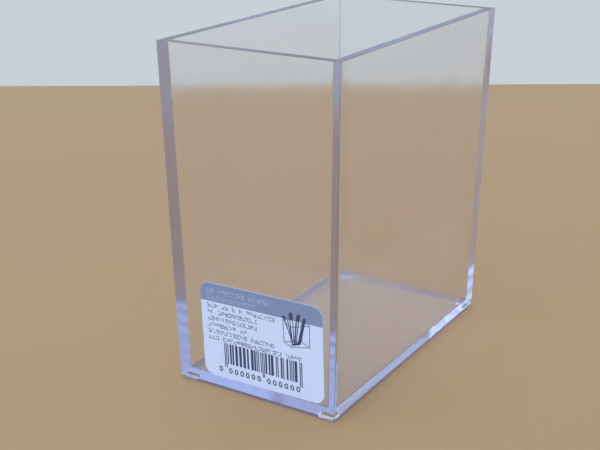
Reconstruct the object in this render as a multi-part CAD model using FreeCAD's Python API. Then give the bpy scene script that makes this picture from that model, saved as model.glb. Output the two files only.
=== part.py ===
import FreeCAD, Part
import math
import os

# Pen holder cup for a desk, in millimetres, +Z up.
# The origin is on the surface that the cup stands on, below the middle of the cup. +X runs
# along the narrow side, +Y along the wide side, and the label is on the narrow face at -Y.
#
#   cup             one clear polystyrene injection moulding: four drafted walls, a floor,
#                   and four low feet, all a single piece of plastic
#   label_adhesive  the pressure-sensitive adhesive layer that holds the label
#   label_face      the printed face stock on top of the adhesive

# ---- cup -----------------------------------------------------------------------------
RIM_WIDTH = 53.5        # outside, along X at the rim
RIM_DEPTH = 91.0        # outside, along Y at the rim
HEIGHT = 95.0           # standing surface to rim
DRAFT_INSET = 1.87      # how far each wall leans in from the rim to the foot line
WALL = 2.6
FLOOR = 2.2
OUTER_EDGE_RADIUS = 0.25    # the upright corners and the turn under the floor, outside
INNER_EDGE_RADIUS = 0.4     # the upright corners and the turn into the floor, inside
RIM_BREAK = 0.08            # the rim's edges are just not sharp

# ---- feet ----------------------------------------------------------------------------
FOOT_HEIGHT = 1.0
FOOT_WIDTH = 5.0        # along X
FOOT_DEPTH = 4.2        # along Y
FOOT_EDGE_GAP = 0.65    # foot to the outside of the wall, at the foot line
FOOT_CORNER_RADIUS = 0.8
FOOT_SINK = 0.6         # how far a foot's blank runs up into the floor, to fuse with it
FOOT_BREAK = 0.25       # rounding of the edge that touches the table

# ---- label ---------------------------------------------------------------------------
LABEL_WIDTH = 38.0
LABEL_HEIGHT = 27.6
LABEL_CORNER_RADIUS = 3.0
LABEL_CENTRE_X = 2.75       # off-centre, as it was stuck on by hand
LABEL_CENTRE_Z = 18.0
LABEL_TILT = 1.0            # degrees, turned anticlockwise as seen from the front
ADHESIVE_THICKNESS = 0.03
FACE_THICKNESS = 0.09

WALL_HEIGHT = HEIGHT - FOOT_HEIGHT
DRAFT_ANGLE = math.degrees(math.atan(DRAFT_INSET / WALL_HEIGHT))
TINY = 1e-6


def vector(x, y, z):
    return FreeCAD.Vector(x, y, z)


def inset_at(z):
    """How far the outside of a wall stands in from the rim's outline, at height z."""
    return DRAFT_INSET * (HEIGHT - z) / WALL_HEIGHT


def rectangle_points(half_width, half_depth, z):
    return [
        vector(-half_width, -half_depth, z),
        vector(half_width, -half_depth, z),
        vector(half_width, half_depth, z),
        vector(-half_width, half_depth, z),
    ]


def drafted_block(z_low, z_high, wall):
    """A solid between two heights whose four sides lean with the cup's walls.

    wall is the distance from the cup's outside, so 0 gives the outer form, and the wall's
    thickness gives the cavity.
    """
    levels = []
    for z in (z_low, z_high):
        inset = inset_at(z) + wall
        levels.append(rectangle_points(RIM_WIDTH / 2 - inset, RIM_DEPTH / 2 - inset, z))
    low, high = levels
    outlines = [low[::-1], high]
    for i in range(4):
        j = (i + 1) % 4
        outlines.append([low[i], low[j], high[j], high[i]])
    faces = [Part.Face(Part.makePolygon(points + points[:1])) for points in outlines]
    return Part.Solid(Part.Shell(faces))


def upright_edges(solid):
    """The four corner edges, which run from the bottom of the solid to its top."""
    box = solid.BoundBox
    return [e for e in solid.Edges if e.BoundBox.ZLength > box.ZLength / 2]


def edges_at(solid, z):
    """The edges that lie flat at height z."""
    return [
        e for e in solid.Edges
        if abs(e.BoundBox.ZMin - z) < 1e-4 and abs(e.BoundBox.ZMax - z) < 1e-4
    ]


def rounded_block(z_low, z_high, wall, radius):
    """A drafted block with its upright corners and its bottom edges rounded."""
    block = drafted_block(z_low, z_high, wall)
    return block.makeFillet(radius, upright_edges(block) + edges_at(block, z_low))


def rounded_rectangle(width, depth, radius, z):
    """A flat face with rounded corners, centred on the Z axis."""
    plate = Part.makeBox(width, depth, 1.0, vector(-width / 2, -depth / 2, z))
    plate = plate.makeFillet(radius, upright_edges(plate))
    outline = [f for f in plate.Faces if abs(f.BoundBox.ZMax - z) < TINY]
    return outline[0]


def make_foot(x_side, y_side):
    """One foot pad in the corner given by the signs of x_side and y_side."""
    face = rounded_rectangle(FOOT_WIDTH, FOOT_DEPTH, FOOT_CORNER_RADIUS, 0.0)
    pad = face.extrude(vector(0, 0, FOOT_HEIGHT + FOOT_SINK))
    if pad.Volume < 0:
        pad.reverse()
    pad = pad.makeFillet(FOOT_BREAK, edges_at(pad, 0.0))
    inset = inset_at(FOOT_HEIGHT) + FOOT_EDGE_GAP
    pad.translate(vector(
        x_side * (RIM_WIDTH / 2 - inset - FOOT_WIDTH / 2),
        y_side * (RIM_DEPTH / 2 - inset - FOOT_DEPTH / 2),
        0.0,
    ))
    return pad


def make_cup():
    """The whole moulding: walls, floor and feet in one solid."""
    outside = rounded_block(FOOT_HEIGHT, HEIGHT, 0.0, OUTER_EDGE_RADIUS)
    cavity = rounded_block(FOOT_HEIGHT + FLOOR, HEIGHT + 1.0, WALL, INNER_EDGE_RADIUS)
    cup = outside.cut(cavity)
    cup = cup.makeFillet(RIM_BREAK, edges_at(cup, HEIGHT))
    feet = [make_foot(x, y) for x in (-1, 1) for y in (-1, 1)]
    cup = cup.fuse(feet).removeSplitter()
    return cup.Solids[0]


def make_label_layer(start, thickness):
    """A flat layer on the front wall; start is its distance from the wall's outside."""
    face = rounded_rectangle(LABEL_WIDTH, LABEL_HEIGHT, LABEL_CORNER_RADIUS, 0.0)
    layer = face.extrude(vector(0, 0, thickness))
    if layer.Volume < 0:
        layer.reverse()
    layer.translate(vector(0, 0, start))
    tilt = FreeCAD.Rotation(vector(0, 0, 1), LABEL_TILT)
    lean = FreeCAD.Rotation(vector(1, 0, 0), 90.0 + DRAFT_ANGLE)
    centre = vector(LABEL_CENTRE_X, -RIM_DEPTH / 2 + inset_at(LABEL_CENTRE_Z), LABEL_CENTRE_Z)
    layer.transformShape(FreeCAD.Placement(centre, lean.multiply(tilt)).toMatrix())
    return layer


def main():
    nodes = {
        "cup": make_cup(),
        "label_adhesive": make_label_layer(0.0, ADHESIVE_THICKNESS),
        "label_face": make_label_layer(ADHESIVE_THICKNESS, FACE_THICKNESS),
    }
    os.makedirs("parts", exist_ok=True)
    for name, shape in nodes.items():
        shape.exportStep("parts/" + name + ".step")
        box = shape.BoundBox
        print(
            name, "solids", len(shape.Solids), "valid", shape.isValid(),
            "volume", round(shape.Volume, 2),
            "x", round(box.XMin, 3), round(box.XMax, 3),
            "y", round(box.YMin, 3), round(box.YMax, 3),
            "z", round(box.ZMin, 3), round(box.ZMax, 3),
        )


main()
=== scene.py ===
import logging
import math
import random
from dataclasses import dataclass, field
from enum import Enum
from functools import partial

import bmesh
import bpy
import numpy as np
from mathutils import Matrix, Vector

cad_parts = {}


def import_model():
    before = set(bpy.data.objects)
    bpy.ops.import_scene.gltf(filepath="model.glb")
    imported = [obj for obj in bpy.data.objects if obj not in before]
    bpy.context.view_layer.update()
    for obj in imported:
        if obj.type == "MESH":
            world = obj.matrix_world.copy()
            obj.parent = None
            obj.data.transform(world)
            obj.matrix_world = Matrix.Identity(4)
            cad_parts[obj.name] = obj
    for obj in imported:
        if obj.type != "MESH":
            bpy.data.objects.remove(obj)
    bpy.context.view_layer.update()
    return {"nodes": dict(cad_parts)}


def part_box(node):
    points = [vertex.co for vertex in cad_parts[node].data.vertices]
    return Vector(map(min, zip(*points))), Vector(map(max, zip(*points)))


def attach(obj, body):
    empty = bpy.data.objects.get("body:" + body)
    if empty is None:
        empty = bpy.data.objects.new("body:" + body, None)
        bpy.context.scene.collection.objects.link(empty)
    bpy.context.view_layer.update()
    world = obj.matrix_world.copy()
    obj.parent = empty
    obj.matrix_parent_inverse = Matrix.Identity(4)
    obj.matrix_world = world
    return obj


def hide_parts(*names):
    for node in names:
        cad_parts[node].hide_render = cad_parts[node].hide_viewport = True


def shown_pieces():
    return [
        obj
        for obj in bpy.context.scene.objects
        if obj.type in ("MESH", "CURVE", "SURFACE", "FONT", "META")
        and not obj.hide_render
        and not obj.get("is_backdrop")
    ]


# A clear desk cup for pens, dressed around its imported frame. Everything is in metres, in the
# frame's own axes: +Z up, the narrow labelled wall at -Y, the origin under the cup's middle.

LOG = logging.getLogger("pen_cup")
MM = 0.001
ROOT_BODY = "root"
Colour = tuple[float, float, float]
Span = tuple[float, float]      # the two ends of a range
Pair = tuple[float, float]      # a length along X and one along Y
Point = tuple[float, float]     # a place on the label, across and up
FULL: Span = (0.0, 1.0)
WELD = 1e-8


# ---- small helpers -----------------------------------------------------------------------


class NodeTree:
    """A node tree written as short calls, for materials and for Geometry Nodes alike."""

    def __init__(self, tree: bpy.types.NodeTree) -> None:
        """Wraps a tree and empties it.

        Args:
            tree: the material's or the modifier's node tree.
        """
        self.tree = tree
        self.tree.nodes.clear()

    def add(self, kind: str, props: dict | None = None, **inputs: object) -> bpy.types.Node:
        """Adds one node.

        Args:
            kind: the node's type name.
            props: settings on the node itself, such as its operation.
            inputs: values or output sockets for its inputs, by socket name with _ for a space.

        Returns:
            The new node.
        """
        node = self.tree.nodes.new(kind)
        for name, value in (props or {}).items():
            setattr(node, name, value)
        for name, value in inputs.items():
            self.feed(self.socket(node, name), value)
        return node

    def socket(self, node: bpy.types.Node, name: str) -> bpy.types.NodeSocket:
        """Finds an input of a node.

        Args:
            node: the node.
            name: the socket's name with _ for a space, or in0, in1 and so on for its place.

        Returns:
            The input; by name, only an enabled one.
        """
        if name.startswith("in") and name[2:].isdigit():
            return node.inputs[int(name[2:])]
        wanted = name.replace("_", " ")
        return next(s for s in node.inputs if s.enabled and s.name == wanted)

    def feed(self, socket: bpy.types.NodeSocket, value: object) -> None:
        """Links an output to a socket, or sets the socket's own value.

        Args:
            socket: the input to feed.
            value: an output socket, a number, a vector or a colour.
        """
        if isinstance(value, bpy.types.NodeSocket):
            self.tree.links.new(value, socket)
        elif isinstance(value, tuple) and socket.type == "RGBA" and len(value) == 3:
            socket.default_value = (*value, 1.0)
        else:
            socket.default_value = value

    def math(self, operation: str, a: object, b: object = 0.0) -> bpy.types.NodeSocket:
        """Adds a Math node and returns its result."""
        return self.add("ShaderNodeMath", {"operation": operation}, in0=a, in1=b).outputs[0]

    def remap(self, value: object, old: Span, new: Span, ease: str = "LINEAR") -> bpy.types.NodeSocket:
        """A clamped change of range.

        Args:
            value: what to change.
            old: its range.
            new: the range it is taken to.
            ease: how it runs from one end to the other.

        Returns:
            The changed value.
        """
        node = self.add(
            "ShaderNodeMapRange", {"interpolation_type": ease},
            in0=value, in1=old[0], in2=old[1], in3=new[0], in4=new[1])
        return node.outputs[0]

    def mix(self, factor: object, a: object, b: object, blend: str = "MIX") -> bpy.types.NodeSocket:
        """A mix of two colours.

        Args:
            factor: how much of the second there is.
            a: the first colour.
            b: the second colour.
            blend: how the second goes on the first.

        Returns:
            The mixed colour.
        """
        node = self.add("ShaderNodeMix", {"data_type": "RGBA", "blend_type": blend})
        self.feed(node.inputs[0], factor)
        self.feed(node.inputs[6], a)
        self.feed(node.inputs[7], b)
        return node.outputs[2]


class MaterialTree(NodeTree):
    """A material's node tree with the patterns that this object's finishes share."""

    def __init__(self, name: str) -> None:
        """Makes a material and its empty tree.

        Args:
            name: the material's name.
        """
        self.material = bpy.data.materials.new(name)
        self.material.use_nodes = True
        super().__init__(self.material.node_tree)
        self.place = self.add("ShaderNodeTexCoord").outputs["Object"]

    def stretched(self, scale: tuple[float, float, float], turn: float = 0.0) -> bpy.types.NodeSocket:
        """Object coordinates scaled per axis and turned, for grain that runs one way.

        Args:
            scale: the scale along each axis; a small one draws the grain out along it.
            turn: the turn about Z in radians.

        Returns:
            The coordinates.
        """
        node = self.add("ShaderNodeMapping", Vector=self.place, Scale=scale)
        node.inputs["Rotation"].default_value = (0.0, 0.0, turn)
        return node.outputs[0]

    def noise(
        self, size: float, detail: float = 2.0, rough: float = 0.5, at: object = None
    ) -> bpy.types.NodeSocket:
        """Fractal noise whose features are about the given size.

        Args:
            size: feature size in metres.
            detail: octaves.
            rough: how strong the finer octaves are.
            at: coordinates, or the plain Object coordinates if None.

        Returns:
            The noise value, about 0 to 1.
        """
        node = self.add("ShaderNodeTexNoise", Scale=1.0 / size, Detail=detail, Roughness=rough)
        self.feed(node.inputs["Vector"], self.place if at is None else at)
        return node.outputs["Fac"]

    def bump(self, height: object, depth: float) -> bpy.types.NodeSocket:
        """A bump of the given depth in metres."""
        return self.add("ShaderNodeBump", Height=height, Distance=depth, Strength=1.0).outputs[0]

    def finish(self, shader: bpy.types.Node, volume: bpy.types.Node | None = None) -> bpy.types.Material:
        """Joins the shader to the output.

        Args:
            shader: the surface.
            volume: what fills the inside, if anything does.

        Returns:
            The material.
        """
        output = self.add("ShaderNodeOutputMaterial", Surface=shader.outputs[0])
        if volume is not None:
            self.feed(output.inputs["Volume"], volume.outputs[0])
        return self.material


@dataclass(frozen=True)
class RoundedRing:
    """One level of a rounded rectangular form.

    Its arcs always have the same number of points, so that rings can be joined by quads.
    """

    half_width: float
    half_depth: float
    radius: float
    z: float
    steps: int = 8

    def points(self) -> list[Vector]:
        """Works out the corner arcs.

        Returns:
            The ring's points, anticlockwise seen from above.
        """
        found = []
        corners = ((1, -1, -90), (1, 1, 0), (-1, 1, 90), (-1, -1, 180))
        for x_side, y_side, start in corners:
            centre_x = x_side * (self.half_width - self.radius)
            centre_y = y_side * (self.half_depth - self.radius)
            for step in range(self.steps + 1):
                angle = math.radians(start + 90.0 * step / self.steps)
                found.append(Vector((
                    centre_x + self.radius * math.cos(angle),
                    centre_y + self.radius * math.sin(angle),
                    self.z,
                )))
        return found


def loft(name: str, rings: list[RoundedRing]) -> bpy.types.Mesh:
    """Joins rings into one closed skin, with a flat cap on the first and on the last.

    Args:
        name: the mesh's name.
        rings: the levels in order along the skin.

    Returns:
        The mesh, its faces outwards.
    """
    form = bmesh.new()
    loops = [[form.verts.new(p) for p in ring.points()] for ring in rings]
    count = len(loops[0])
    for low, high in zip(loops, loops[1:]):
        for i in range(count):
            j = (i + 1) % count
            form.faces.new((low[i], low[j], high[j], high[i]))
    form.faces.new(loops[0][::-1])
    form.faces.new(loops[-1])
    bmesh.ops.recalc_face_normals(form, faces=form.faces)
    mesh = bpy.data.meshes.new(name)
    form.to_mesh(mesh)
    form.free()
    return mesh


def new_object(name: str, mesh: bpy.types.Mesh) -> bpy.types.Object:
    """Puts a mesh in the scene as an object at the origin.

    Args:
        name: the object's name.
        mesh: its mesh.

    Returns:
        The object.
    """
    made = bpy.data.objects.new(name, mesh)
    bpy.context.scene.collection.objects.link(made)
    return made


def soften(made: bpy.types.Object, sharp_above: float = 35.0, large_first: int = 100) -> None:
    """Shades an object smooth, with flat faces kept flat and steep edges kept crisp.

    Args:
        made: the object, whose modifiers are made part of its mesh.
        sharp_above: edges steeper than this many degrees stay crisp.
        large_first: how far the largest face at a point sets the shading there, out of 100.
    """
    made.data.shade_smooth()
    made.data.set_sharp_from_angle(angle=math.radians(sharp_above))
    weigh = made.modifiers.new("weigh", "WEIGHTED_NORMAL")
    weigh.weight = large_first
    weigh.keep_sharp = True
    settle(made)


def settle(made: bpy.types.Object) -> None:
    """Turns an object and its modifiers into one plain mesh.

    Args:
        made: the object, which keeps its name.
    """
    bpy.context.view_layer.update()
    shown = made.evaluated_get(bpy.context.evaluated_depsgraph_get())
    mesh = bpy.data.meshes.new_from_object(shown)
    made.modifiers.clear()
    made.data = mesh
    mesh.name = made.name


class GeometryTree(NodeTree):
    """A Geometry Nodes tree with named inputs, run once and turned into a plain mesh."""

    def __init__(self, name: str, inputs: dict[str, tuple[str, object]]) -> None:
        """Makes the tree and its interface.

        Args:
            name: the tree's name.
            inputs: for each named input, its socket type and its value.
        """
        group = bpy.data.node_groups.new(name, "GeometryNodeTree")
        super().__init__(group)
        group.interface.new_socket("Geometry", in_out="INPUT", socket_type="NodeSocketGeometry")
        self.values = {}
        for label, (kind, value) in inputs.items():
            made = group.interface.new_socket(label, in_out="INPUT", socket_type=kind)
            self.values[made.identifier] = value
        group.interface.new_socket("Geometry", in_out="OUTPUT", socket_type="NodeSocketGeometry")
        self.source = self.add("NodeGroupInput").outputs

    def close(self, geometry: bpy.types.NodeSocket) -> None:
        """Ends the tree: instances made real, then the material.

        Args:
            geometry: what the tree has made.
        """
        real = self.add("GeometryNodeRealizeInstances", Geometry=geometry)
        dressed = self.add(
            "GeometryNodeSetMaterial", Geometry=real.outputs[0], Material=self.source["Material"])
        self.add("NodeGroupOutput", in0=dressed.outputs[0])

    def run(self, made: bpy.types.Object) -> None:
        """Runs the tree on an object and keeps the result as its mesh.

        Args:
            made: the object whose mesh is the tree's own geometry input.
        """
        modifier = made.modifiers.new(self.tree.name, "NODES")
        modifier.node_group = self.tree
        for identifier, value in self.values.items():
            modifier[identifier] = value
        settle(made)


def grown(tree: GeometryTree, name: str, start: bpy.types.Mesh) -> bpy.types.Mesh:
    """Runs a tree on an object that is only needed while it runs.

    Args:
        tree: the finished tree.
        name: the object's name.
        start: the mesh that the tree starts from.

    Returns:
        What the tree makes of it.
    """
    holder = new_object(name, start)
    tree.run(holder)
    mesh = holder.data
    bpy.data.objects.remove(holder)
    return mesh


# ---- finishes ----------------------------------------------------------------------------


@dataclass(frozen=True)
class ClearPolystyrene:
    """Clear moulded polystyrene with the blue toner that shows in its edges."""

    refraction: float = 1.59
    skin: Colour = (0.985, 0.988, 1.0)
    toner: Colour = (0.17, 0.30, 0.95)
    toner_strength: float = 6.0
    polish: float = 0.062
    haze: float = 0.10
    ripple_depth: float = 0.2 * MM
    ripple_size: float = 28.0 * MM
    smudge_size: float = 12.0 * MM
    smudge_span: Span = (0.48, 0.75)
    scuff_size: float = 0.7 * MM
    scuff_grain: tuple[float, float, float] = (1.0, 0.05, 0.6)
    scuff_turn: float = 0.5
    scuff_span: Span = (0.66, 0.74)
    scuff_share: float = 0.35

    def material(self) -> bpy.types.Material:
        """Builds the finish.

        Returns:
            Clear plastic with faint handling haze, fine scratches and moulded ripple.
        """
        tree = MaterialTree("clear_polystyrene")
        smudge = tree.noise(self.smudge_size, detail=4.0, rough=0.6)
        smudge = tree.remap(smudge, self.smudge_span, FULL)
        grain = tree.stretched(self.scuff_grain, self.scuff_turn)
        scuffs = tree.remap(
            tree.noise(self.scuff_size, at=grain), self.scuff_span, (0.0, self.scuff_share))
        worn = tree.math("MAXIMUM", smudge, scuffs)
        rough = tree.remap(worn, FULL, (self.polish, self.haze))
        ripple = tree.bump(
            tree.noise(self.ripple_size, detail=1.0, rough=0.4), self.ripple_depth)
        shader = tree.add(
            "ShaderNodeBsdfPrincipled",
            Base_Color=self.skin,
            Roughness=rough,
            IOR=self.refraction,
            Transmission_Weight=1.0,
            Normal=ripple,
        )
        volume = tree.add(
            "ShaderNodeVolumeAbsorption", Color=self.toner, Density=self.toner_strength)
        return tree.finish(shader, volume)


@dataclass(frozen=True)
class CoatedPaper:
    """Semi-gloss coated label paper, with a fine fibre texture under its coating."""

    colour: Colour = (0.73, 0.83, 0.985)
    mottle: Colour = (0.69, 0.79, 0.955)
    refraction: float = 1.48
    roughness: Span = (0.36, 0.50)
    mottle_size: float = 2.2 * MM
    mottle_span: Span = (0.35, 0.7)
    fibre_size: float = 0.22 * MM
    fibre_grain: tuple[float, float, float] = (1.0, 1.0, 0.35)
    fibre_span: Span = (0.3, 0.7)
    fibre_depth: float = 0.004 * MM

    def material(self) -> bpy.types.Material:
        """Builds the finish.

        Returns:
            Paper with a soft mottle, fibres and uneven gloss.
        """
        tree = MaterialTree("label_paper")
        cloudy = tree.remap(
            tree.noise(self.mottle_size, detail=3.0, rough=0.6), self.mottle_span, FULL)
        grain = tree.stretched(self.fibre_grain)
        fibres = tree.noise(self.fibre_size, detail=3.0, rough=0.7, at=grain)
        shader = tree.add(
            "ShaderNodeBsdfPrincipled",
            Base_Color=tree.mix(cloudy, self.colour, self.mottle),
            Roughness=tree.remap(fibres, self.fibre_span, self.roughness),
            IOR=self.refraction,
            Normal=tree.bump(fibres, self.fibre_depth),
        )
        return tree.finish(shader)


@dataclass(frozen=True)
class PrintInk:
    """A printed ink, slightly uneven where it sits on the paper's fibres."""

    name: str
    colour: Colour
    thin: Colour
    refraction: float = 1.5
    roughness: Span = (0.36, 0.5)
    speck_size: float = 0.18 * MM
    speck_span: Span = (0.5, 0.72)
    roll_size: float = 3.0 * MM
    roll_span: Span = (0.3, 0.7)
    roll_share: float = 0.35

    def material(self) -> bpy.types.Material:
        """Builds the finish.

        Returns:
            Ink whose density varies at the scale of the paper's fibres.
        """
        tree = MaterialTree(self.name)
        starved = tree.remap(
            tree.noise(self.speck_size, detail=3.0, rough=0.65), self.speck_span, FULL)
        rolled = tree.remap(tree.noise(self.roll_size), self.roll_span, (0.0, self.roll_share))
        shader = tree.add(
            "ShaderNodeBsdfPrincipled",
            Base_Color=tree.mix(tree.math("MAXIMUM", starved, rolled), self.colour, self.thin),
            Roughness=tree.remap(starved, FULL, self.roughness),
            IOR=self.refraction,
        )
        return tree.finish(shader)


@dataclass(frozen=True)
class MilkyAdhesive:
    """Label adhesive seen from behind: milky, with fine trapped air."""

    wetted: Colour = (0.62, 0.66, 0.72)
    air: Colour = (0.78, 0.80, 0.84)
    refraction: float = 1.47
    roughness: Span = (0.3, 0.5)
    bubble_pitch: float = 1.1 * MM
    bubble_edge: Span = (0.12, 0.2)
    patch_size: float = 6.0 * MM
    patch_span: Span = (0.5, 0.6)
    gloss_size: float = 0.8 * MM
    gloss_span: Span = (0.3, 0.7)

    def material(self) -> bpy.types.Material:
        """Builds the finish.

        Returns:
            Adhesive with small pale air spots and soft unevenness.
        """
        tree = MaterialTree("label_adhesive")
        cells = tree.add(
            "ShaderNodeTexVoronoi", Vector=tree.place, Scale=1.0 / self.bubble_pitch)
        spots = tree.remap(cells.outputs["Distance"], self.bubble_edge, (1.0, 0.0))
        patchy = tree.remap(tree.noise(self.patch_size), self.patch_span, FULL)
        shader = tree.add(
            "ShaderNodeBsdfPrincipled",
            Base_Color=tree.mix(tree.math("MULTIPLY", spots, patchy), self.wetted, self.air),
            Roughness=tree.remap(tree.noise(self.gloss_size), self.gloss_span, self.roughness),
            IOR=self.refraction,
        )
        return tree.finish(shader)


@dataclass(frozen=True)
class TableTop:
    """A plain matt table, with shade painted into its colour in a narrow band under the cup's walls and
    under its feet.

    The painted shade stands for the light that the walls lead away inside their own plastic.
    """

    name: str
    colour: Colour
    outline: Pair
    feet_from: Pair
    roughness: float = 0.5
    tone_change: float = 0.97
    tone_size: float = 120.0 * MM
    tone_span: Span = (0.35, 0.65)
    # The dark colour painted in as shade under the cup, and how much of it goes on.
    painted_shade: Colour = (0.15, 0.12, 0.15)
    strength: float = 0.65
    inner_fade: Span = (-2.8 * MM, -1.8 * MM)
    outer_fade: Span = (-0.9 * MM, 0.0)
    foot_fade: Span = (-0.3 * MM, 0.2 * MM)

    def material(self) -> bpy.types.Material:
        """Builds the finish.

        Returns:
            A matt surface with a barely visible tone change and the band of painted shade.
        """
        tree = MaterialTree(self.name)
        darker = tuple(c * self.tone_change for c in self.colour)
        tone = tree.remap(tree.noise(self.tone_size), self.tone_span, FULL)
        plain = tree.mix(tone, self.colour, darker)
        outside = tree.math("MAXIMUM", *self.past(tree, self.outline))
        corner = tree.math("MINIMUM", *self.past(tree, self.feet_from))
        under = tree.math(
            "MAXIMUM",
            tree.remap(outside, self.inner_fade, FULL),
            tree.remap(corner, self.foot_fade, FULL),
        )
        # Painted shade: the table's colour is mixed towards the dark shade colour in the band under the
        # walls and under the feet.
        band = tree.math(
            "MULTIPLY", under, tree.remap(outside, self.outer_fade, (self.strength, 0.0)))
        shader = tree.add(
            "ShaderNodeBsdfPrincipled",
            Base_Color=tree.mix(band, plain, self.painted_shade),
            Roughness=self.roughness,
        )
        return tree.finish(shader)

    def past(self, tree: MaterialTree, half: Pair) -> list[bpy.types.NodeSocket]:
        """How far a point is past the sides of a rectangle about the middle.

        Args:
            tree: the material's tree.
            half: the rectangle's half width and half depth.

        Returns:
            The distance past the sides along X, and along Y; it is negative inside them.
        """
        place = tree.add("ShaderNodeSeparateXYZ", Vector=tree.place)
        return [
            tree.math("SUBTRACT", tree.math("ABSOLUTE", place.outputs[axis]), limit)
            for axis, limit in enumerate(half)
        ]


# ---- the moulding ------------------------------------------------------------------------


@dataclass
class CupMoulding:
    """The one-piece clear cup: drafted walls, floor and four low feet in a single skin."""

    node: str = "cup"
    wall: float = 2.6 * MM
    floor: float = 2.2 * MM
    draft_inset: float = 1.87 * MM
    outer_radius: float = 0.25 * MM
    inner_radius: float = 0.4 * MM
    rim_break: float = 0.08 * MM
    foot_height: float = 1.0 * MM
    foot_width: float = 5.0 * MM
    foot_depth: float = 4.2 * MM
    foot_gap: float = 0.65 * MM
    foot_radius: float = 0.8 * MM
    foot_break: float = 0.25 * MM
    foot_sink: float = 0.6 * MM
    least_radius: float = 0.03 * MM
    round_steps: int = 8
    finish: ClearPolystyrene = field(default_factory=ClearPolystyrene)

    def __post_init__(self) -> None:
        """Takes the rim's outline and the height from the frame."""
        low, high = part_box(self.node)
        self.half_width = (high.x - low.x) / 2
        self.half_depth = (high.y - low.y) / 2
        self.height = high.z

    def inset_at(self, z: float) -> float:
        """How far the outside of a wall stands in from the rim's outline at height z."""
        return self.draft_inset * (self.height - z) / (self.height - self.foot_height)

    def ring(self, z: float, inwards: float, radius: float) -> RoundedRing:
        """A level of the skin, moved inwards from the outside of the walls.

        Args:
            z: height.
            inwards: distance in from the outside at that height.
            radius: corner radius.

        Returns:
            The ring.
        """
        inset = self.inset_at(z) + inwards
        return RoundedRing(
            self.half_width - inset,
            self.half_depth - inset,
            max(radius, self.least_radius),
            z,
            self.round_steps,
        )

    def footprint(self) -> list[Pair]:
        """Works out where the cup is over the table.

        Returns:
            The half width and half depth at which the walls end, then those at which the feet
            start.
        """
        line = self.ring(self.foot_height, 0.0, self.outer_radius)
        feet_from = (
            line.half_width - self.foot_gap - self.foot_width,
            line.half_depth - self.foot_gap - self.foot_depth,
        )
        return [(line.half_width, line.half_depth), feet_from]

    def quarter(self) -> list[float]:
        """The angles, in radians, at which a quarter-round is cut."""
        return [math.radians(90.0 * k / self.round_steps) for k in range(self.round_steps + 1)]

    def skin(self) -> list[RoundedRing]:
        """Follows the skin up the outside, over the rim, and down to the floor.

        Returns:
            The skin's levels in that order.
        """
        rings = []
        for angle in self.quarter():
            rise = self.outer_radius * (1 - math.cos(angle))
            back = self.outer_radius * (1 - math.sin(angle))
            rings.append(self.ring(self.foot_height + rise, back, self.outer_radius - back))
        for angle in self.quarter():
            rise = self.rim_break * (1 - math.sin(angle))
            back = self.rim_break * (1 - math.cos(angle))
            rings.append(self.ring(self.height - rise, back, self.outer_radius - back))
        for angle in reversed(self.quarter()):
            rise = self.rim_break * (1 - math.sin(angle))
            back = self.wall - self.rim_break * (1 - math.cos(angle))
            radius = self.inner_radius + self.wall - back
            rings.append(self.ring(self.height - rise, back, radius))
        for angle in reversed(self.quarter()):
            rise = self.inner_radius * (1 - math.cos(angle))
            back = self.inner_radius * (1 - math.sin(angle))
            level = self.foot_height + self.floor + rise
            rings.append(self.ring(level, self.wall + back, self.inner_radius - back))
        return rings

    def foot(self) -> bpy.types.Object:
        """Makes one foot pad about the origin, to be set at the corners.

        Returns:
            The pad, whose top runs up into the floor.
        """
        half_width = self.foot_width / 2
        half_depth = self.foot_depth / 2
        rings = []
        for angle in self.quarter():
            rise = self.foot_break * (1 - math.cos(angle))
            back = self.foot_break * (1 - math.sin(angle))
            rings.append(RoundedRing(
                half_width - back, half_depth - back, self.foot_radius - back, rise))
        top = self.foot_height + self.foot_sink
        rings.append(RoundedRing(half_width, half_depth, self.foot_radius, top))
        return new_object("foot_blank", loft("foot_blank", rings))

    def grow_feet(
        self, cup: bpy.types.Object, blank: bpy.types.Object, material: bpy.types.Material
    ) -> None:
        """Sets a foot at each corner and makes it one skin with the cup.

        Args:
            cup: the cup's skin.
            blank: one foot about the origin.
            material: the cup's finish.
        """
        outline = self.ring(self.foot_height, self.foot_gap, self.outer_radius)
        tree = GeometryTree("corner_feet", {
            "Foot": ("NodeSocketObject", blank),
            "Spread X": ("NodeSocketFloat", 2 * outline.half_width - self.foot_width),
            "Spread Y": ("NodeSocketFloat", 2 * outline.half_depth - self.foot_depth),
            "Material": ("NodeSocketMaterial", material),
        })
        corners = tree.add(
            "GeometryNodeMeshGrid",
            Size_X=tree.source["Spread X"],
            Size_Y=tree.source["Spread Y"],
            Vertices_X=2,
            Vertices_Y=2,
        )
        pad = tree.add("GeometryNodeObjectInfo", Object=tree.source["Foot"])
        feet = tree.add(
            "GeometryNodeInstanceOnPoints",
            Points=corners.outputs[0], Instance=pad.outputs["Geometry"])
        real = tree.add("GeometryNodeRealizeInstances", Geometry=feet.outputs[0])
        joined = tree.add("GeometryNodeMeshBoolean", {"operation": "UNION", "solver": "EXACT"})
        tree.feed(joined.inputs[1], tree.source["Geometry"])
        tree.feed(joined.inputs[1], real.outputs[0])
        tree.close(joined.outputs[0])
        tree.run(cup)

    def build(self) -> bpy.types.Object:
        """Makes the finished cup.

        Returns:
            The cup, which stands for its CAD node.
        """
        material = self.finish.material()
        cup = new_object("clear_cup", loft("clear_cup", self.skin()))
        blank = self.foot()
        self.grow_feet(cup, blank, material)
        bpy.data.objects.remove(blank)
        soften(cup)
        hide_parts(self.node)
        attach(cup, ROOT_BODY)
        return cup


# ---- the label ---------------------------------------------------------------------------


class Ink(Enum):
    """The inks that the label is printed with."""

    BAND = "band"
    KNOCKED_OUT = "knocked_out"
    TEXT = "text"
    LINE = "line"


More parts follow.
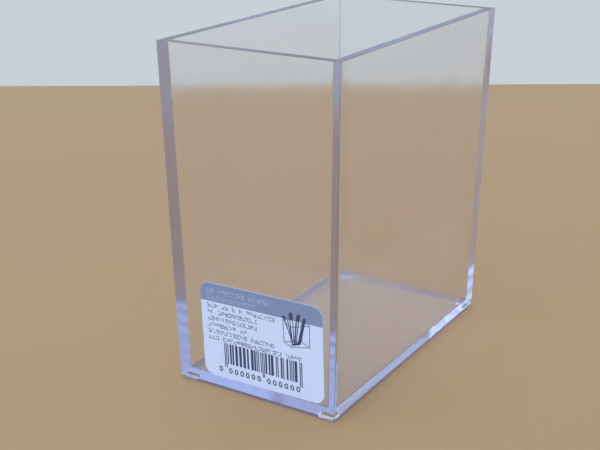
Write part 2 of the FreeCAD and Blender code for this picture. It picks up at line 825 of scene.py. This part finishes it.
INKS = {
    Ink.BAND: PrintInk("ink_band", (0.23, 0.30, 0.45), (0.27, 0.34, 0.48)),
    Ink.KNOCKED_OUT: PrintInk("ink_knocked_out", (0.46, 0.54, 0.74), (0.38, 0.46, 0.64)),
    Ink.TEXT: PrintInk("ink_text", (0.035, 0.045, 0.11), (0.09, 0.11, 0.2)),
    Ink.LINE: PrintInk("ink_line", (0.24, 0.29, 0.40), (0.34, 0.40, 0.52)),
}


@dataclass
class LabelPlane:
    """Where the label lies, read from its CAD node: a centre and three directions."""

    centre: Vector
    across: Vector
    up: Vector
    out: Vector
    half_width: float
    half_height: float

    @staticmethod
    def from_node(node: bpy.types.Object, front_below: float = -0.9) -> "LabelPlane":
        """Reads the printed side of the label's face stock.

        Args:
            node: the CAD node of the face stock.
            front_below: a face is on the printed side when its normal's Y is below this.

        Returns:
            The plane, with its centre on the printed side.
        """
        mesh = node.data
        front = [p for p in mesh.polygons if p.normal.y < front_below]
        out = sum((p.normal * p.area for p in front), Vector()).normalized()
        ids = sorted({i for p in front for i in p.vertices})
        points = np.array([mesh.vertices[i].co for i in ids], float)
        middle = (points.min(0) + points.max(0)) / 2
        spread = np.linalg.eigh(np.cov((points - middle).T))[1]
        across = Vector(spread[:, 2])
        if across.x < 0:
            across = -across
        up = out.cross(across).normalized()
        along = points @ np.array(across)
        rise = points @ np.array(up)
        level = points @ np.array(out)
        centre = (
            across * float(along.min() + along.max()) / 2
            + up * float(rise.min() + rise.max()) / 2
            + out * float(level.mean())
        )
        return LabelPlane(
            centre, across, up, out,
            float(along.max() - along.min()) / 2,
            float(rise.max() - rise.min()) / 2,
        )

    def matrix(self, proud: float) -> Matrix:
        """Label coordinates to the frame's, raised off the printed side by proud."""
        turn = Matrix((self.across, self.up, self.out)).transposed().to_4x4()
        return Matrix.Translation(self.centre + self.out * proud) @ turn


@dataclass(frozen=True)
class MarkRow:
    """A row of placeholder marks: its first mark, how many there are and how tall they are."""

    first: float
    middle: float
    count: int
    height: float


ALWAYS = 1.0


@dataclass(frozen=True)
class MarkStroke:
    """One of the strokes that placeholder marks are put together from.

    Its place and length are shares of a mark's height, its turn is in degrees, and its chance is
    how often a mark has it.
    """

    x: float
    y: float
    length: float
    turn: float
    chance: float


def ring_strokes(
    half_width: float, half_height: float, sides: int, overlap: float = 1.12
) -> tuple[MarkStroke, ...]:
    """A plain ring as a closed chain of strokes.

    Args:
        half_width: half the ring's width, as a share of a mark's height.
        half_height: half its height, as a share of the same.
        sides: how many strokes it has.
        overlap: how much longer than its side a stroke is, so that the joins are filled.

    Returns:
        The strokes, all of them always drawn.
    """
    corners = [
        Vector((half_width * math.cos(turn), half_height * math.sin(turn)))
        for turn in (2 * math.pi * (k + 0.5) / sides for k in range(sides))
    ]
    strokes = []
    for a, b in zip(corners, corners[1:] + corners[:1]):
        middle, along = (a + b) / 2, b - a
        turn = math.degrees(math.atan2(along.y, along.x))
        strokes.append(MarkStroke(middle.x, middle.y, along.length * overlap, turn, ALWAYS))
    return tuple(strokes)


MARK_STROKES = (
    MarkStroke(-0.25, 0.38, 0.36, 6.0, 0.70),
    MarkStroke(0.24, 0.40, 0.30, -5.0, 0.55),
    MarkStroke(-0.21, 0.01, 0.30, -7.0, 0.60),
    MarkStroke(0.25, 0.02, 0.36, 5.0, 0.60),
    MarkStroke(-0.26, -0.38, 0.32, 4.0, 0.55),
    MarkStroke(0.21, -0.39, 0.38, -6.0, 0.70),
    MarkStroke(-0.02, 0.20, 0.16, 0.0, 0.55),
    MarkStroke(0.05, -0.19, 0.16, 0.0, 0.55),
)


@dataclass(frozen=True)
class MarkStyle:
    """How a row's marks are spaced and drawn.

    The seed picks each mark's strokes, and which marks are left out to part the words. A row
    always starts with a few marks that are kept. The stroke width is a share of a mark's height.
    """

    pitch: float
    seed: int
    strokes: tuple[MarkStroke, ...] = MARK_STROKES
    gap_chance: float = 0.08
    kept_at_start: int = 2
    stroke_width: float = 0.21


@dataclass
class PrintedLabel:
    """The label: adhesive, face stock, and its printing as thin raised pieces."""

    plane: LabelPlane
    corner_radius: float = 3.0 * MM
    adhesive_thickness: float = 0.03 * MM
    face_thickness: float = 0.09 * MM
    contact_gap: float = 0.004 * MM
    edge_break: float = 0.02 * MM
    glue_break_share: float = 0.25
    corner_steps: int = 12
    edge_steps: int = 3
    ink_thickness: float = 0.004 * MM
    band_height: float = 5.4 * MM
    margin: float = 1.9 * MM
    heading_rises: tuple[float, ...] = (3.05 * MM, 1.15 * MM)
    heading_counts: tuple[int, ...] = (17, 13)
    heading_heights: tuple[float, ...] = (1.35 * MM, 1.15 * MM)
    heading_style: MarkStyle = MarkStyle(1.22 * MM, 40)
    body_drop: float = 1.15 * MM
    body_counts: tuple[int, ...] = (19, 15, 14, 11, 20, 26)
    body_style: MarkStyle = MarkStyle(1.14 * MM, 7)
    line_pitch: float = 1.9 * MM
    text_height: float = 1.2 * MM
    bars_width: float = 24.9 * MM
    bars_middle: float = 0.3 * MM
    bars_top: float = -3.1 * MM
    bar_height: float = 6.1 * MM
    guard_extra: float = 1.2 * MM
    figure_height: float = 1.65 * MM
    figure_pitch: float = 1.84 * MM
    figure_middle: float = -11.2 * MM
    figure_groups: tuple[tuple[float, int], ...] = ((-13.6 * MM, 1), (-10.4 * MM, 6), (1.9 * MM, 6))
    figure_ring: tuple[float, float, int] = (0.27, 0.42, 10)

    def __post_init__(self) -> None:
        """Makes the label's finishes."""
        self.inks = {ink: finish.material() for ink, finish in INKS.items()}

    def place(self, name: str, mesh: bpy.types.Mesh, proud: float, slot: str) -> bpy.types.Object:
        """Puts a mesh made in label coordinates on the label.

        Args:
            name: the piece's name.
            mesh: the mesh, which stands on its own zero height.
            proud: how far off the printed side it stands.
            slot: not used.

        Returns:
            The piece, its place in its mesh.
        """
        mesh.transform(self.plane.matrix(proud))
        mesh.name = name
        made = new_object(name, mesh)
        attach(made, ROOT_BODY)
        return made

    def layer(self, thickness: float, rounding: float) -> bpy.types.Mesh:
        """A plate with the label's outline and slightly rounded front edges.

        Args:
            thickness: the plate's thickness.
            rounding: the radius of its front edges.

        Returns:
            The mesh, its back at zero height.
        """
        half_width = self.plane.half_width
        half_height = self.plane.half_height
        radius = self.corner_radius
        rings = [RoundedRing(half_width, half_height, radius, 0.0, self.corner_steps)]
        for step in range(self.edge_steps + 1):
            angle = math.radians(90.0 * step / self.edge_steps)
            back = rounding * (1 - math.cos(angle))
            level = thickness - rounding * (1 - math.sin(angle))
            rings.append(RoundedRing(
                half_width - back, half_height - back, radius - back, level, self.corner_steps))
        return loft("layer", rings)

    def build_layers(self) -> None:
        """Makes the adhesive and the face stock."""
        face = self.layer(self.face_thickness, self.edge_break)
        face.materials.append(CoatedPaper().material())
        made = self.place("label_sheet", face, -self.face_thickness, "label_paper")
        soften(made)
        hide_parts("label_face")
        glue_thickness = self.adhesive_thickness - self.contact_gap
        glue = self.layer(glue_thickness, glue_thickness * self.glue_break_share)
        glue.materials.append(MilkyAdhesive().material())
        proud = -self.face_thickness - glue_thickness
        made = self.place("label_glue", glue, proud, "adhesive")
        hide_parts("label_adhesive")

    def build_band(self) -> None:
        """Prints the coloured band across the top."""
        edge = self.edge_break
        half_width = self.plane.half_width - edge
        top = self.plane.half_height - edge
        bottom = self.plane.half_height - self.band_height
        radius = self.corner_radius - edge
        outline = [(-half_width, bottom), (half_width, bottom)]
        for side, start in ((1, 0), (-1, 90)):
            for step in range(self.corner_steps + 1):
                angle = math.radians(start + 90.0 * step / self.corner_steps)
                outline.append((
                    side * (half_width - radius) + radius * math.cos(angle),
                    top - radius + radius * math.sin(angle),
                ))
        mesh = prism("band", [outline], self.ink_thickness)
        mesh.materials.append(self.inks[Ink.BAND])
        self.place("label_band", mesh, 0.0, "label_paper")

    def build_marks(
        self, name: str, rows: list[MarkRow], style: MarkStyle, ink: Ink, proud: float = 0.0
    ) -> None:
        """Prints rows of placeholder marks as one piece.

        Args:
            name: the piece's name.
            rows: the rows.
            style: how the marks are drawn.
            ink: what it is printed with.
            proud: how far off the face stock it stands.
        """
        mesh = placeholder_marks(name, rows, style, self.ink_thickness, self.inks[ink])
        self.place(name, mesh, proud, "label_paper")

    def build_text(self) -> None:
        """Prints the two lines on the band and the six lines under it."""
        left = -self.plane.half_width + self.margin + self.text_height / 2
        band_low = self.plane.half_height - self.band_height
        heading = [
            MarkRow(left, band_low + rise, count, height)
            for rise, count, height in zip(
                self.heading_rises, self.heading_counts, self.heading_heights)
        ]
        self.build_marks(
            "label_band_marks", heading, self.heading_style, Ink.KNOCKED_OUT, self.ink_thickness)
        top = band_low - self.body_drop
        body = [
            MarkRow(left, top - row * self.line_pitch, count, self.text_height)
            for row, count in enumerate(self.body_counts)
        ]
        self.build_marks("label_text_marks", body, self.body_style, Ink.TEXT)

    def build_bars(self) -> None:
        """Prints the bars."""
        bars = RandomBars(self.bars_width, self.bar_height, self.guard_extra, self.ink_thickness)
        mesh = bars.mesh("bars", self.inks[Ink.TEXT])
        mesh.transform(Matrix.Translation((self.bars_middle, self.bars_top, 0.0)))
        self.place("label_bars", mesh, 0.0, "label_paper")

    def build_figures(self) -> None:
        """Prints the row of plain rings under the bars: one, then two groups of six."""
        rows = [
            MarkRow(start, self.figure_middle, count, self.figure_height)
            for start, count in self.figure_groups
        ]
        ring = ring_strokes(*self.figure_ring)
        style = MarkStyle(self.figure_pitch, seed=0, strokes=ring, gap_chance=0.0)
        self.build_marks("label_figure_rings", rows, style, Ink.TEXT)

    def build_icon(self) -> None:
        """Prints a plain picture of a box with pens in it."""
        draw = IconDrawing(self.ink_thickness)
        lines = draw.box_lines()
        lines.materials.append(self.inks[Ink.LINE])
        self.place("label_icon_box", lines, self.ink_thickness, "label_paper")
        pens = draw.pens()
        pens.materials.append(self.inks[Ink.TEXT])
        self.place("label_icon_pens", pens, 2 * self.ink_thickness, "label_paper")

    def build(self) -> None:
        """Makes the whole label."""
        self.build_layers()
        self.build_band()
        self.build_text()
        self.build_bars()
        self.build_figures()
        self.build_icon()


def prism(name: str, outlines: list[list[Point]], thickness: float) -> bpy.types.Mesh:
    """Flat plates of one thickness, standing on zero height.

    Args:
        name: the mesh's name.
        outlines: each plate's outline, anticlockwise.
        thickness: the plates' thickness.

    Returns:
        The mesh.
    """
    form = bmesh.new()
    for outline in outlines:
        low = [form.verts.new((x, y, 0.0)) for x, y in outline]
        high = [form.verts.new((x, y, thickness)) for x, y in outline]
        form.faces.new(low[::-1])
        form.faces.new(high)
        for i in range(len(outline)):
            j = (i + 1) % len(outline)
            form.faces.new((low[i], low[j], high[j], high[i]))
    bmesh.ops.remove_doubles(form, verts=form.verts, dist=WELD)
    bmesh.ops.recalc_face_normals(form, faces=form.faces)
    mesh = bpy.data.meshes.new(name)
    form.to_mesh(mesh)
    form.free()
    return mesh


@dataclass(frozen=True)
class IconDrawing:
    """A picture of an open box with pens standing in it.

    Its points and widths are in millimetres from the label's centre. Each pen line is where it
    starts, where it ends and how wide it is.
    """

    thickness: float
    line: float = 0.28
    end_steps: int = 6
    rim: tuple[Point, ...] = ((7.1, 8.1), (9.3, 6.3), (15.1, 7.9), (12.7, 9.0))
    foot: tuple[Point, ...] = ((7.2, 1.8), (9.4, 0.7), (15.0, 1.8), (12.7, 3.0))
    pen_lines: tuple[tuple[Point, Point, float], ...] = (
        ((7.4, 8.6), (9.7, 2.6), 0.36),
        ((8.5, 8.2), (9.9, 2.3), 0.26),
        ((9.2, 8.6), (9.8, 1.9), 0.28),
        ((10.1, 8.6), (10.3, 1.8), 0.26),
        ((11.2, 8.7), (10.5, 1.9), 0.42),
        ((11.9, 8.7), (10.9, 1.9), 0.28),
        ((7.2, 8.9), (7.6, 8.6), 0.75),
        ((9.5, 10.0), (9.6, 9.1), 1.20),
        ((11.9, 10.0), (11.6, 9.0), 1.10),
        ((13.6, 9.4), (11.9, 2.4), 0.92),
        ((11.8, 2.2), (10.0, 1.5), 0.60),
    )

    def stroke(self, a: Point, b: Point, wide: float) -> list[Point]:
        """A line with round ends.

        Args:
            a: where it starts.
            b: where it ends.
            wide: its width.

        Returns:
            The outline in metres, anticlockwise.
        """
        start = math.atan2(b[1] - a[1], b[0] - a[0])
        outline = []
        for centre, turn in ((b, start - math.pi / 2), (a, start + math.pi / 2)):
            for step in range(self.end_steps + 1):
                angle = turn + math.pi * step / self.end_steps
                outline.append((
                    (centre[0] + wide / 2 * math.cos(angle)) * MM,
                    (centre[1] + wide / 2 * math.sin(angle)) * MM,
                ))
        return outline

    def box_lines(self) -> bpy.types.Mesh:
        """Draws the box as the lines of its edges.

        Returns:
            The mesh, in label coordinates.
        """
        joins = list(zip(self.rim, self.rim[1:] + self.rim[:1]))
        joins += list(zip(self.foot, self.foot[1:] + self.foot[:1]))
        joins += list(zip(self.rim, self.foot))
        return prism("icon_box", [self.stroke(a, b, self.line) for a, b in joins], self.thickness)

    def pens(self) -> bpy.types.Mesh:
        """Four pens leaning in the box: their outlines, their caps and a solid one."""
        return prism("icon_pens", [self.stroke(*pen) for pen in self.pen_lines], self.thickness)


def placeholder_marks(
    name: str, rows: list[MarkRow], style: MarkStyle, thickness: float,
    material: bpy.types.Material,
) -> bpy.types.Mesh:
    """Rows of small dashes and dots that stand for print and spell nothing.

    Args:
        name: the mesh's name.
        rows: the rows.
        style: how the marks are drawn.
        thickness: the strokes' thickness.
        material: their ink.

    Returns:
        The mesh, in label coordinates.
    """
    form = bmesh.new()
    size = form.verts.layers.float.new("size")
    chance = random.Random(style.seed)
    for row in rows:
        for place in range(row.count):
            parted = chance.random() < style.gap_chance
            if parted and place >= style.kept_at_start:
                continue
            point = form.verts.new((row.first + place * style.pitch, row.middle, 0.0))
            point[size] = row.height
    points = bpy.data.meshes.new(name)
    form.to_mesh(points)
    form.free()
    tree = GeometryTree(name, {
        "Stroke Width": ("NodeSocketFloat", style.stroke_width),
        "Thickness": ("NodeSocketFloat", thickness),
        "Seed": ("NodeSocketInt", style.seed),
        "Material": ("NodeSocketMaterial", material),
    })
    height = tree.add("GeometryNodeInputNamedAttribute", {"data_type": "FLOAT"}, Name="size")
    scale = tree.add(
        "ShaderNodeCombineXYZ", X=height.outputs[0], Y=height.outputs[0], Z=tree.source["Thickness"])
    joined = tree.add("GeometryNodeJoinGeometry")
    for slot, stroke in enumerate(style.strokes):
        size_of = tree.add(
            "ShaderNodeCombineXYZ", X=stroke.length, Y=tree.source["Stroke Width"], Z=1.0)
        bar = tree.add("GeometryNodeMeshCube", Size=size_of.outputs[0])
        # The cube is one high about its middle, so half of that stands it on zero height.
        moved = tree.add(
            "GeometryNodeTransform", Geometry=bar.outputs[0],
            Translation=(stroke.x, stroke.y, 0.5), Rotation=(0.0, 0.0, math.radians(stroke.turn)))
        pick = tree.add(
            "FunctionNodeRandomValue", {"data_type": "BOOLEAN"}, Probability=stroke.chance)
        shuffled = tree.math("ADD", tree.source["Seed"], float(slot))
        tree.feed(tree.socket(pick, "Seed"), shuffled)
        placed = tree.add(
            "GeometryNodeInstanceOnPoints",
            Points=tree.source["Geometry"], Selection=pick.outputs[3], Instance=moved.outputs[0],
            Scale=scale.outputs[0])
        tree.feed(joined.inputs[0], placed.outputs[0])
    tree.close(joined.outputs[0])
    return grown(tree, name + "_points", points)


@dataclass(frozen=True)
class RandomBars:
    """A row of upright bars of random widths, with a longer pair at its ends and middle.

    Bars and gaps are whole numbers of modules wide. The bias favours narrow ones, and the widest
    step sets how many modules the widest can add to the first. The ink gain, in modules, is how
    far each bar's print spreads.
    """

    width: float
    height: float
    guard_extra: float
    thickness: float
    count: int = 30
    count_to_middle: int = 14
    guards: int = 2
    bias: float = 1.6
    widest_step: float = 3.2
    ink_gain: float = 0.2
    seed: int = 1

    def modules(
        self, tree: GeometryTree, slot: int, ordinary: bpy.types.NodeSocket
    ) -> bpy.types.NodeSocket:
        """Draws how many modules wide each bar or each gap is.

        Args:
            tree: the bars' tree.
            slot: 0 for the bars and 1 for the gaps, so that their draws differ.
            ordinary: 1 where a bar is an ordinary one, and 0 where it is a guard bar.

        Returns:
            The number of modules.
        """
        dice = tree.add("FunctionNodeRandomValue", {"data_type": "FLOAT"}, in2=0.0, in3=1.0)
        tree.feed(tree.socket(dice, "Seed"), tree.math("ADD", tree.source["Seed"], float(slot)))
        biased = tree.math("POWER", dice.outputs[1], self.bias)
        steps = tree.math("FLOOR", tree.math("MULTIPLY", biased, self.widest_step))
        return tree.math("ADD", 1.0, tree.math("MULTIPLY", steps, ordinary))

    def mesh(self, name: str, material: bpy.types.Material) -> bpy.types.Mesh:
        """Makes the bars.

        Args:
            name: the mesh's name.
            material: their ink.

        Returns:
            The mesh, centred in X, with the bars' tops at zero.
        """
        tree = GeometryTree(name, {
            "Width": ("NodeSocketFloat", self.width),
            "Height": ("NodeSocketFloat", self.height),
            "Guard Extra": ("NodeSocketFloat", self.guard_extra),
            "Thickness": ("NodeSocketFloat", self.thickness),
            "Ink Gain": ("NodeSocketFloat", self.ink_gain),
            "Seed": ("NodeSocketInt", self.seed),
            "Material": ("NodeSocketMaterial", material),
        })
        source = tree.source
        half = partial(tree.math, "MULTIPLY", 0.5)
        bars = tree.add("GeometryNodeMeshLine", Count=self.count)
        index = tree.add("GeometryNodeInputIndex").outputs[0]
        place = tree.math("MODULO", index, float(self.count_to_middle))
        guard = tree.math("LESS_THAN", place, self.guards - 0.5)
        ordinary = tree.math("SUBTRACT", 1.0, guard)
        bar = self.modules(tree, 0, ordinary)
        gap = self.modules(tree, 1, ordinary)
        running = tree.add(
            "GeometryNodeAccumulateField", {"data_type": "FLOAT"}, in0=tree.math("ADD", bar, gap))
        module = tree.math("DIVIDE", source["Width"], running.outputs["Total"])
        centre = tree.math("ADD", running.outputs["Trailing"], half(bar))
        across = tree.math("SUBTRACT", tree.math("MULTIPLY", centre, module), half(source["Width"]))
        tall = tree.math(
            "ADD", source["Height"], tree.math("MULTIPLY", guard, source["Guard Extra"]))
        middle = tree.math("SUBTRACT", 0.0, half(tall))
        spot = tree.add("ShaderNodeCombineXYZ", X=across, Y=middle, Z=half(source["Thickness"]))
        inked = tree.math("MULTIPLY", tree.math("ADD", bar, source["Ink Gain"]), module)
        size = tree.add("ShaderNodeCombineXYZ", X=inked, Y=tall, Z=source["Thickness"])
        set_out = tree.add(
            "GeometryNodeSetPosition", Geometry=bars.outputs[0], Position=spot.outputs[0])
        unit = tree.add("GeometryNodeMeshCube", Size=(1.0, 1.0, 1.0))
        placed = tree.add(
            "GeometryNodeInstanceOnPoints",
            Points=set_out.outputs[0], Instance=unit.outputs[0], Scale=size.outputs[0])
        tree.close(placed.outputs[0])
        return grown(tree, name, bpy.data.meshes.new(name))


# ---- the studio --------------------------------------------------------------------------


@dataclass(frozen=True)
class Softbox:
    """A large square lamp: where it stands, how wide it is, its power and its colour."""

    name: str
    place: Vector
    size: float
    power: float
    colour: Colour


@dataclass(frozen=True)
class Studio:
    """A plain pale table, a pale surround, soft light and the camera."""

    footprint: list[Pair]
    aim: Vector = Vector((0.4 * MM, -20.8 * MM, 43.0 * MM))
    distance: float = 305.5 * MM
    azimuth: float = 31.9
    elevation: float = 19.94
    roll: float = -0.21
    lens: float = 67.2
    sensor: float = 36.0
    nearest: float = 10.0 * MM
    table_reach: float = 0.342
    table_size: float = 3.0
    table_gap: float = 0.06 * MM
    table_colour: Colour = (0.515, 0.298, 0.115)
    room_low: Colour = (0.565, 0.625, 0.64)
    room_high: Colour = (0.61, 0.72, 0.94)
    room_span: Span = (-0.3, 0.7)
    window: Colour = (0.62, 0.76, 1.10)
    window_side: Vector = Vector((-0.35, -0.9, 0.25))
    window_span: Span = (-0.1, 0.6)
    window_share: float = 0.75
    key: Softbox = Softbox("key", Vector((-0.5, -1.2, 1.2)), 1.6, 0.6, (0.88, 0.94, 1.0))
    clear_bounces: int = 40
    glossy_bounces: int = 24

    def away(self) -> Vector:
        """The level direction from the camera through the cup."""
        turn = math.radians(self.azimuth)
        return Vector((-math.sin(turn), math.cos(turn), 0.0))

    def add_camera(self) -> None:
        """Sets the camera."""
        data = bpy.data.cameras.new("camera")
        data.lens = self.lens
        data.sensor_width = self.sensor
        data.clip_start = self.nearest
        camera = bpy.data.objects.new("camera", data)
        bpy.context.scene.collection.objects.link(camera)
        rise = math.radians(self.elevation)
        back = -self.away() * math.cos(rise) + Vector((0, 0, math.sin(rise)))
        camera.location = self.aim + back * self.distance
        turn = (-back).to_track_quat("-Z", "Y").to_matrix()
        tilt = Matrix.Rotation(math.radians(self.roll), 3, "Z")
        camera.rotation_euler = (turn @ tilt).to_euler()
        bpy.context.scene.camera = camera

    def add_table(self) -> None:
        """Lays a plain pale table under the cup, whose far edge is behind the cup."""
        turn = math.radians(self.azimuth)
        across = Vector((math.cos(turn), math.sin(turn), 0.0))
        away = self.away()
        corners = [
            across * side * self.table_size + away * reach - Vector((0, 0, self.table_gap))
            for side, reach in (
                (-1, -self.table_size), (1, -self.table_size),
                (1, self.table_reach), (-1, self.table_reach),
            )
        ]
        mesh = bpy.data.meshes.new("table")
        mesh.from_pydata([tuple(c) for c in corners], [], [(0, 1, 2, 3)])
        top = TableTop("table_pale", self.table_colour, *self.footprint)
        mesh.materials.append(top.material())
        new_object("table", mesh)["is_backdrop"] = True

    def add_surround(self) -> None:
        """Lights the whole room softly, brighter above and towards the window side."""
        world = bpy.data.worlds.new("surround")
        world.use_nodes = True
        tree = NodeTree(world.node_tree)
        place = tree.add("ShaderNodeTexCoord").outputs["Generated"]
        height = tree.add("ShaderNodeSeparateXYZ", Vector=place).outputs["Z"]
        rising = tree.remap(height, self.room_span, FULL)
        room = tree.mix(rising, self.room_low, self.room_high)
        facing = tree.add(
            "ShaderNodeVectorMath", {"operation": "DOT_PRODUCT"},
            in0=place, in1=self.window_side.normalized())
        share = tree.remap(
            facing.outputs["Value"], self.window_span, (0.0, self.window_share), "SMOOTHSTEP")
        lit = tree.mix(share, room, self.window, "ADD")
        back = tree.add("ShaderNodeBackground", Color=lit, Strength=1.0)
        tree.add("ShaderNodeOutputWorld", Surface=back.outputs[0])
        bpy.context.scene.world = world

    def add_lamp(self, softbox: Softbox) -> None:
        """Adds one softbox aimed at the cup.

        Args:
            softbox: the lamp to add.
        """
        data = bpy.data.lights.new(softbox.name, "AREA")
        data.shape = "SQUARE"
        data.size = softbox.size
        data.energy = softbox.power
        data.color = softbox.colour
        lamp = bpy.data.objects.new(softbox.name, data)
        lamp.location = softbox.place
        lamp.rotation_euler = (self.aim - softbox.place).to_track_quat("-Z", "Y").to_euler()
        bpy.context.scene.collection.objects.link(lamp)

    def build(self) -> None:
        """Makes the whole studio."""
        self.add_camera()
        self.add_table()
        self.add_surround()
        self.add_lamp(self.key)
        scene = bpy.context.scene
        scene.view_settings.view_transform = "Standard"
        scene.cycles.blur_glossy = 0.0
        scene.cycles.max_bounces = self.clear_bounces
        scene.cycles.transmission_bounces = self.clear_bounces
        scene.cycles.glossy_bounces = self.glossy_bounces


def main() -> None:
    """Builds everything in order."""
    logging.basicConfig(level=logging.INFO, format="%(message)s")
    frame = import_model()
    moulding = CupMoulding()
    Studio(moulding.footprint()).build()
    cup = moulding.build()
    LOG.info("%s: %d faces", cup.name, len(cup.data.polygons))
    PrintedLabel(LabelPlane.from_node(frame["nodes"]["label_face"])).build()
    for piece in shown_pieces():
        LOG.info("piece %s: %d faces", piece.name, len(piece.data.polygons))


if __name__ == "__main__":
    main()
